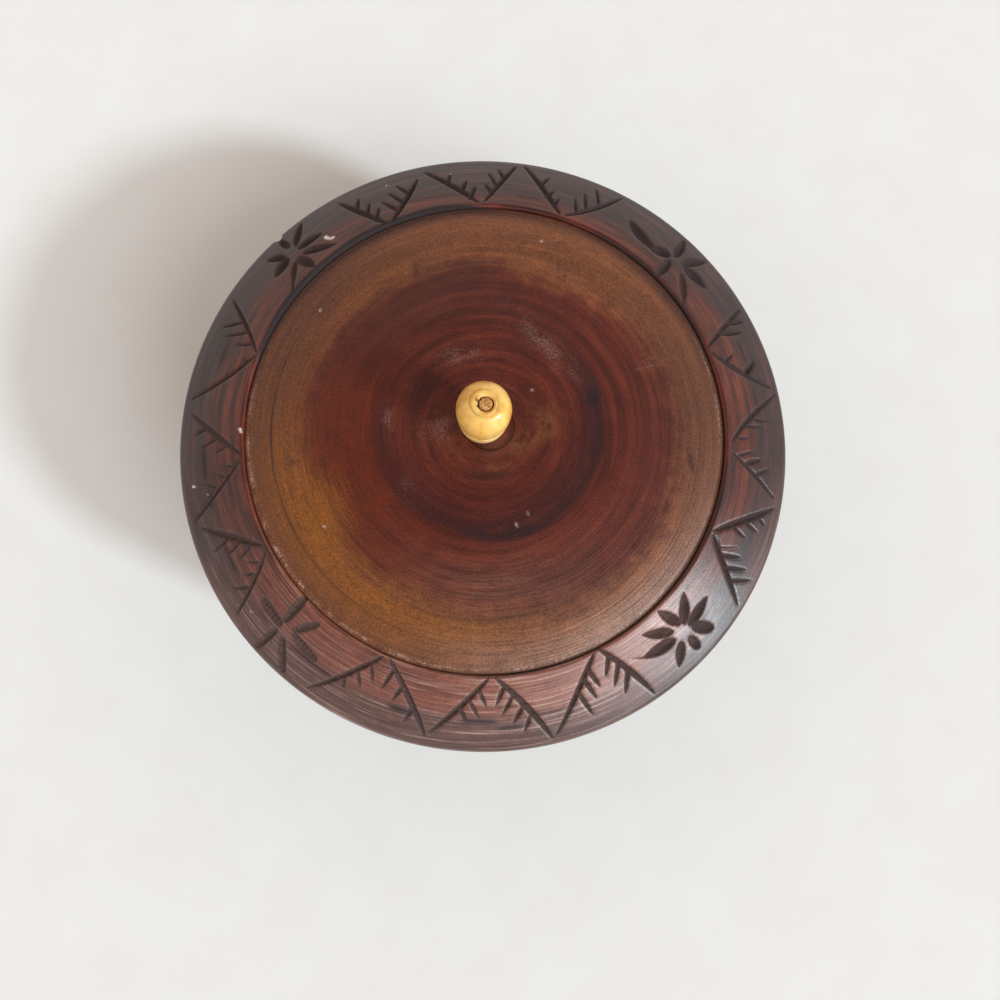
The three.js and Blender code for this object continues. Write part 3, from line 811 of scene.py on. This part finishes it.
# Turned and oiled rosewood with a soft worn gleam: lathe lines 0.43 mm apart, growth rings 2 mm wide,
# a mottle of 4.5 mm, a sanded speckle of 0.45 mm, and dust.
lathe_lines_per_mm, growth_rings_per_mm, mottle_per_mm, speckle_per_mm = 2.3, 0.5, 0.22, 2.2
lathe_circle = 1.5
flat = add_node(tree, "VectorMath", {0: place, 1: (1, 1, 0)}, operation="MULTIPLY").outputs[0]
from_axis = add_node(tree, "VectorMath", {0: flat}, operation="LENGTH").outputs["Value"]
compass = add_node(tree, "VectorMath", {0: flat}, operation="NORMALIZE").outputs[0]
# Outwards on the top and downwards on the edge, so that the lathe lines run round both.
level = add_node(tree, "SeparateXYZ", {0: place}).outputs["Z"]
below_top = add_node(tree, "Math", {0: crown_level, 1: level}, operation="SUBTRACT").outputs[0]
over_surface = add_node(tree, "Math", {0: from_axis, 1: below_top}, operation="ADD").outputs[0]
ring_place = add_node(tree, "CombineXYZ", {"Z": over_surface}).outputs[0]
# The mottle and the speckle are solid patterns, so they don't smear down the edge.
downwards = add_node(tree, "CombineXYZ", {"Z": below_top}).outputs[0]
solid_place = add_node(tree, "VectorMath", {0: flat, 1: downwards}, operation="ADD").outputs[0]
lathe_place = add_node(
    tree, "VectorMath", {0: compass, 1: (lathe_circle,) * 3, 2: ring_place}, operation="MULTIPLY_ADD"
).outputs[0]
lathe_lines, growth_rings, mottle, speckle = [
    add_node(
        tree, "TexNoise",
        {"Vector": vector, "Scale": scale, "Detail": detail, "Roughness": roughness},
    ).outputs["Fac"]
    for vector, scale, detail, roughness in [
        (lathe_place, lathe_lines_per_mm, 3, 0.65), (lathe_place, growth_rings_per_mm, 2, 0.5),
        (solid_place, mottle_per_mm, 6, 0.6), (solid_place, speckle_per_mm, 2, 0.8),
    ]
]
heart_wood = add_node(
    tree, "ValToRGB", {"Fac": growth_rings},
    stops=[(0.34, linear("#481509")), (0.5, linear("#571c10")), (0.66, linear("#652615"))],
).outputs["Color"]
sap_wood = add_node(
    tree, "ValToRGB", {"Fac": growth_rings},
    stops=[(0.3, linear("#69381d")), (0.5, linear("#764223")), (0.7, linear("#824b29"))],
).outputs["Color"]
sapwood = add_node(tree, "Attribute", attribute_name="sapwood").outputs["Fac"]
wander = add_node(tree, "Math", {0: mottle, 1: 9.0, 2: -4.5}, operation="MULTIPLY_ADD").outputs[0]
sapwood = add_node(tree, "Math", {0: sapwood, 1: wander}, operation="ADD").outputs[0]
sap_share = add_node(
    tree, "MapRange", {"Value": sapwood, "From Min": -3.6, "From Max": 3.6},
    interpolation_type="SMOOTHSTEP",
).outputs[0]
wood = add_node(tree, "Mix", {0: sap_share, 6: heart_wood, 7: sap_wood}, data_type="RGBA").outputs[2]
# Stains, dust and the painted sheen, highlight and shade are never even: the mottle, the speckle and the lathe
# lines break them up.
broken, scuffed, gritty, ringed = [
    add_node(
        tree, "MapRange",
        {"Value": pattern, "From Min": low, "From Max": high, "To Min": least, "To Max": most},
    ).outputs[0]
    for pattern, low, high, least, most in [
        (mottle, 0.32, 0.62, 0.5, 1.15), (mottle, 0.42, 0.58, 0.1, 1.2),
        (speckle, 0.4, 0.62, 0.2, 1.4), (lathe_lines, 0.35, 0.6, 0.45, 1.15),
    ]
]
gritty = add_node(tree, "Math", {0: gritty, 1: scuffed}, operation="MULTIPLY").outputs[0]
tints = [
    ("orange_oil", "#5c1c02", broken), ("gold", "#824910", ringed), ("darker_wood_and_seam_shade", "#401f18", broken),
    ("dark_stain_and_knob_shadow", "#2a0f14", broken), ("rubbed_brown", "#704426", scuffed), ("painted_sheen", "#9c735f", ringed),
    ("dust", "#7b5c52", gritty), ("painted_edge_highlight", "#b08a78", gritty), ("seam_stain_and_shade", "#472a20", broken),
]
for field, colour, breaking in tints:
    amount = add_node(tree, "Attribute", attribute_name=field).outputs["Fac"]
    amount = add_node(
        tree, "Math", {0: amount, 1: breaking}, operation="MULTIPLY", use_clamp=True
    ).outputs[0]
    wood = add_node(tree, "Mix", {0: amount, 6: wood, 7: linear(colour)}, data_type="RGBA").outputs[2]
grain = -1.0
for pattern, share in [(lathe_lines, 0.8), (speckle, 2.2), (mottle, 0.95)]:
    grain = add_node(tree, "Math", {0: pattern, 1: share, 2: grain}, operation="MULTIPLY_ADD").outputs[0]
wood = add_node(tree, "VectorMath", {0: wood, "Scale": grain}, operation="SCALE").outputs[0]
specks = add_node(tree, "Attribute", attribute_name="specks").outputs["Fac"]
wood = add_node(tree, "Mix", {0: specks, 6: wood, 7: linear("#c9b3a6")}, data_type="RGBA").outputs[2]
relief = add_node(tree, "Math", {0: speckle, 1: 0.4, 2: lathe_lines}, operation="MULTIPLY_ADD").outputs[0]
dents = add_node(tree, "Bump", {"Height": relief, "Strength": 0.8, "Distance": 0.0001})
# The outer part is rubbed by the fingers that lift the lid, so it catches the light more widely.
shine = add_node(
    tree, "MapRange",
    {"Value": from_axis, "From Min": 25.0, "From Max": 52.0, "To Min": 0.38, "To Max": 0.5},
).outputs[0]
shader = add_node(
    tree, "BsdfPrincipled",
    {"Base Color": wood, "Roughness": shine, "IOR": 1.5, "Specular IOR Level": 0.55, "Normal": dents.outputs[0]},
)
add_node(tree, "OutputMaterial", {"Surface": shader.outputs[0]})
turned_lid = put_mesh("turned_lid", points, faces, oiled_wood, lid_fields)
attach(turned_lid, "lid")
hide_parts("lid")

# Knob. A turned bead of yellowed bone: a flared foot, a fine groove, a round head and a thin
# raised ring round the hole. It sits a little off the middle of its seat and leans a little.
knob_foot_level = 69.3
knob_ring_radius = 2.9
knob_head_height = 15
foot_shift = np.array([-1.0, 0.2])
head_shift = np.array([-0.7, 0.35])
knob_profile = np.concatenate([
    straight((hole_radius, 0), (3.2, 0), 3),
    [(3.6, 0.12), (3.85, 0.45)],
    straight((4.02, 1.0), (5.35, 6.4), 12),
    [(5.5, 7.3), (5.62, 8.2), (5.7, 9.1), (5.75, 10.15)],
    [(5.55, 10.4), (5.42, 10.6), (5.55, 10.8)],
    elliptic((5.75, knob_head_height), (0.35, 3.95), -80, 0, 12),
    elliptic((knob_ring_radius, knob_head_height), (3.2, 5), 4, 86, 30),
    [(knob_ring_radius + 0.05, 20.05), (knob_ring_radius, 20.25), (2.75, 20.4)],
    straight((2.4, 20.38), (hole_radius + 0.15, 20.2), 3),
    straight((hole_radius, 20), (hole_radius, 0.5), 8),
])
knob_columns = 160
rings = []
for radius, height in knob_profile:
    outer = np.interp(radius, [hole_radius, knob_ring_radius], [0, 1])
    lean = foot_shift + (head_shift - foot_shift) * np.clip(height / knob_head_height, 0, 1)
    centre = lean * outer + hole_shift * (1 - outer)
    rings.append(level_ring(radius, knob_foot_level + height, knob_columns, centre))
points, faces = endless_rings(rings)
from_ring = points[:, :2] - head_shift
ring_reach = np.hypot(*from_ring.T)
ring_bearing = np.degrees(np.arctan2(from_ring[:, 1], from_ring[:, 0])) % 360
# Brown dirt lies in broken lines round the raised ring, and in cracks beside the hole. The bead is
# paler below its groove.
dirt_radius, dirt_width, dirt_level = 3.0, 0.16, 88
pale_share, pale_below, pale_softness = 0.7, 9.5, 0.5
knob_fields = {
    "dirt": (points[:, 2] > dirt_level) * (
        np.exp(-((ring_reach - dirt_radius) / dirt_width) ** 2) * round_rim(ring_bearing, [
            (0, 0.6), (30, 0.5), (55, 0.15), (90, 0.05), (150, 0.1), (200, 0.35), (240, 0.5), (275, 0.25),
            (300, 0.1), (330, 0.6),
        ]) + patches(points, [
            (-2.2, 0.9, 0.28, 0.5, 20, 1.2), (-2.0, -0.5, 0.45, 0.25, -35, 1.1), (-1.5, 1.6, 0.3, 0.2, 30, 0.6),
        ])
    ),
    "paler_foot": pale_share * soft_step(knob_foot_level + pale_below - points[:, 2], pale_softness),
}

polished_bone, tree, place = new_material("polished_yellowed_bone")
# Bone yellowed by oil and polished by fingers: nearly even, with a soft glow and faint grain 3 mm wide
# and four times as long.
grain_per_mm = 0.35
long_grain = add_node(tree, "VectorMath", {0: place, 1: (1, 1, 0.25)}, operation="MULTIPLY").outputs[0]
clouds = add_node(
    tree, "TexNoise", {"Vector": long_grain, "Scale": grain_per_mm, "Detail": 4}
).outputs["Fac"]
bone = add_node(
    tree, "ValToRGB", {"Fac": clouds},
    stops=[(0.36, linear("#dba14a")), (0.5, linear("#eebc60")), (0.64, linear("#f4ca78"))],
).outputs["Color"]
paler_foot = add_node(tree, "Attribute", attribute_name="paler_foot").outputs["Fac"]
bone = add_node(tree, "Mix", {0: paler_foot, 6: bone, 7: linear("#f3dfae")}, data_type="RGBA").outputs[2]
dirt = add_node(tree, "Attribute", attribute_name="dirt").outputs["Fac"]
bone = add_node(tree, "Mix", {0: dirt, 6: bone, 7: linear("#4a2c14")}, data_type="RGBA").outputs[2]
shader = add_node(
    tree, "BsdfPrincipled",
    {"Base Color": bone, "Roughness": 0.28, "IOR": 1.54, "Subsurface Weight": 0.25,
     "Subsurface Radius": (0.0015, 0.0009, 0.0004), "Subsurface Scale": 1.0},
)
add_node(tree, "OutputMaterial", {"Surface": shader.outputs[0]})
bone_knob = put_mesh("bone_knob", points, faces, polished_bone, knob_fields)
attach(bone_knob, "lid")
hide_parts("knob")

# Peg. A whittled wooden peg, cut off just below the bead's top; its end grain shows in the hole.
peg_radius = 1.45
peg_top = 89.25
peg_profile = np.concatenate([
    [(0, dish_level)], straight((0.7, dish_level), (peg_radius - 0.1, dish_level), 2),
    straight((peg_radius, dish_level + 0.15), (peg_radius, peg_top - 0.15), 10),
    [(peg_radius - 0.1, peg_top), (0.9, peg_top + 0.05), (0.45, peg_top + 0.03), (0, peg_top)],
])
peg_columns = 48
points, faces = closed_rings([
    level_ring(radius, height, peg_columns if radius else 1, hole_shift) for radius, height in peg_profile
])

raw_wood, tree, place = new_material("raw_peg_wood")
# Bare split wood: fibres about half a millimetre apart, dull.
fibres_per_mm = 2.2
fibres = add_node(
    tree, "TexNoise", {"Vector": place, "Scale": fibres_per_mm, "Detail": 5}
).outputs["Fac"]
raw = add_node(
    tree, "ValToRGB", {"Fac": fibres},
    stops=[(0.35, linear("#94571f")), (0.5, linear("#c08545")), (0.65, linear("#dcae7a"))],
).outputs["Color"]
shader = add_node(tree, "BsdfPrincipled", {"Base Color": raw, "Roughness": 0.7})
add_node(tree, "OutputMaterial", {"Surface": shader.outputs[0]})
wooden_peg = put_mesh("wooden_peg", points, faces, raw_wood)
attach(wooden_peg, "lid")
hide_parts("knob_peg")
